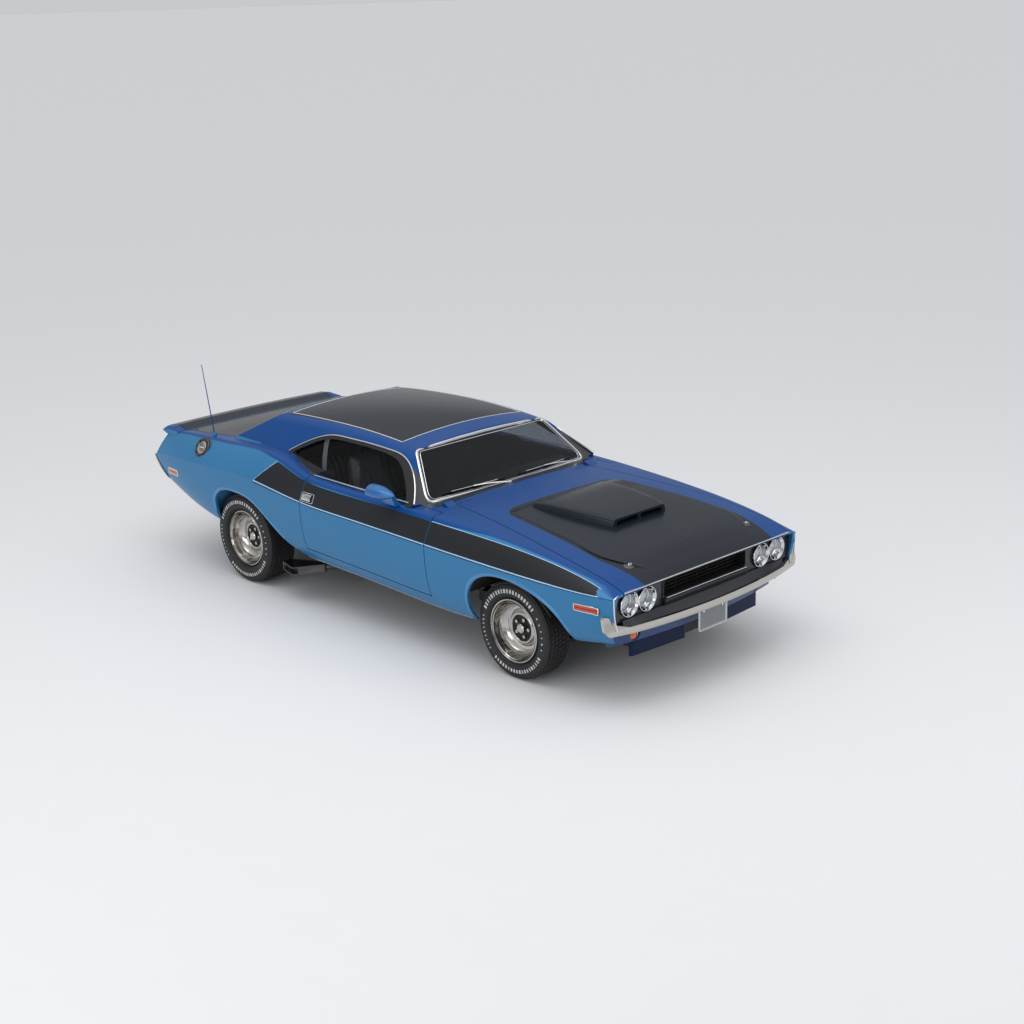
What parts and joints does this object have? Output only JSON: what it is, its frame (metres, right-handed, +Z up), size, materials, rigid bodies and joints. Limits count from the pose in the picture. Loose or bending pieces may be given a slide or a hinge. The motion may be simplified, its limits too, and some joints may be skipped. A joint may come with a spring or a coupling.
{
  "type": "two-door hardtop muscle car",
  "caption": "Long-nosed two-door hardtop car with twin round lamps, a hood scoop, ducktail, deep wheels and a hollow cabin; wheels, steering, doors, hood and trunk move.",
  "frame": {"origin": "On the ground under the middle of the car's length, on its centre line", "axes": "+X to the nose, +Y to the car's left, +Z up"},
  "size_m": [4.8508, 1.9835, 1.5496],
  "materials": {
    "body_paint": "glossy blue metallic paint",
    "black_trim": "satin black paint",
    "chrome_trim": "bright chrome plate",
    "tyre_rubber": "black tyre rubber",
    "screen_glass": "tinted safety glass",
    "lamp_glass": "clear lamp glass over a reflector",
    "amber_lens": "moulded amber and red lens",
    "red_lens": "moulded red lens",
    "cabin_plastic": "grained black moulding",
    "seat_cover": "black grained vinyl cover",
    "chassis_black": "black chassis paint",
    "engine_iron": "painted cast iron",
    "exhaust_steel": "bright steel tube"
  },
  "bodies": {
    "body": {"body_shell": "body_paint", "floor_pan": "chassis_black", "front_fender_left": "body_paint", "front_fender_right": "body_paint", "cowl": "black_trim", "windshield": "screen_glass", "rear_window": "screen_glass", "spoiler_ends": "body_paint", "grille": "black_trim", "headlamps": "lamp_glass", "front_bumper": "chrome_trim", "front_valance": "body_paint", "turn_lamps": "amber_lens", "plate_bracket": "chassis_black", "side_markers": "amber_lens", "tail_lamps": "red_lens", "rear_bumper": "chrome_trim", "inner_fenders": "chassis_black", "engine_block": "engine_iron", "drivetrain": "engine_iron", "exhaust": "exhaust_steel", "rear_axle": "chassis_black", "fuel_tank": "chassis_black", "front_suspension": "chassis_black", "dashboard": "cabin_plastic", "front_seats": "seat_cover", "rear_seat": "seat_cover", "antenna": "body_paint", "fuel_cap": "chrome_trim"},
    "hood": {"hood": "black_trim"},
    "trunk_lid": {"trunk_lid": "black_trim", "spoiler": "black_trim"},
    "door_left": {"door_left": "body_paint", "door_glass_left": "screen_glass"},
    "door_right": {"door_right": "body_paint", "door_glass_right": "screen_glass", "mirror_right": "body_paint"},
    "knuckle_left": {"knuckle_left": "chassis_black"},
    "knuckle_right": {"knuckle_right": "chassis_black"},
    "wheel_front_left": {"tyre_front_left": "tyre_rubber", "rim_front_left": "chrome_trim"},
    "wheel_front_right": {"tyre_front_right": "tyre_rubber", "rim_front_right": "chrome_trim"},
    "wheel_rear_left": {"tyre_rear_left": "tyre_rubber", "rim_rear_left": "chrome_trim"},
    "wheel_rear_right": {"tyre_rear_right": "tyre_rubber", "rim_rear_right": "chrome_trim"},
    "steering_wheel": {"steering_wheel": "cabin_plastic"}
  },
  "joints": [
    {"name": "hood_hinge", "type": "hinge", "parent": "body", "child": "hood", "pos_m": [0.7, 0, 0.949], "axis": [0, -1, 0], "range_deg": [0, 52]},
    {"name": "trunk_hinge", "type": "hinge", "parent": "body", "child": "trunk_lid", "pos_m": [-1.612, 0, 1.019], "axis": [0, 1, 0], "range_deg": [0, 62]},
    {"name": "door_left_hinge", "type": "hinge", "parent": "body", "child": "door_left", "pos_m": [0.7995, 0.9602, 0.7], "axis": [0, 0, -1], "range_deg": [0, 66]},
    {"name": "door_right_hinge", "type": "hinge", "parent": "body", "child": "door_right", "pos_m": [0.7995, -0.9602, 0.7], "axis": [0, 0, 1], "range_deg": [0, 66]},
    {"name": "steer_left", "type": "hinge", "parent": "body", "child": "knuckle_left", "pos_m": [1.4945, 0.69, 0.316], "axis": [0, 0, 1], "range_deg": [-33, 33]},
    {"name": "steer_right", "type": "hinge", "parent": "body", "child": "knuckle_right", "pos_m": [1.4945, -0.69, 0.316], "axis": [0, 0, 1], "range_deg": [-33, 33]},
    {"name": "steering_wheel_turn", "type": "hinge", "parent": "body", "child": "steering_wheel", "pos_m": [0.3845, 0.37, 0.842], "axis": [-0.9511, 0, 0.309], "range_deg": [-528, 528]},
    {"name": "wheel_front_left_spin", "type": "hinge", "parent": "knuckle_left", "child": "wheel_front_left", "pos_m": [1.4945, 0.758, 0.316], "axis": [0, 1, 0], "continuous": true},
    {"name": "wheel_rear_left_spin", "type": "hinge", "parent": "body", "child": "wheel_rear_left", "pos_m": [-1.2995, 0.771, 0.33], "axis": [0, 1, 0], "continuous": true},
    {"name": "wheel_front_right_spin", "type": "hinge", "parent": "knuckle_right", "child": "wheel_front_right", "pos_m": [1.4945, -0.758, 0.316], "axis": [0, 1, 0], "continuous": true},
    {"name": "wheel_rear_right_spin", "type": "hinge", "parent": "body", "child": "wheel_rear_right", "pos_m": [-1.2995, -0.771, 0.33], "axis": [0, 1, 0], "continuous": true}
  ],
  "couplings": [
    {"joint": "steer_right", "follows": "steer_left", "ratio": 1},
    {"joint": "steering_wheel_turn", "follows": "steer_left", "ratio": 16}
  ]
}
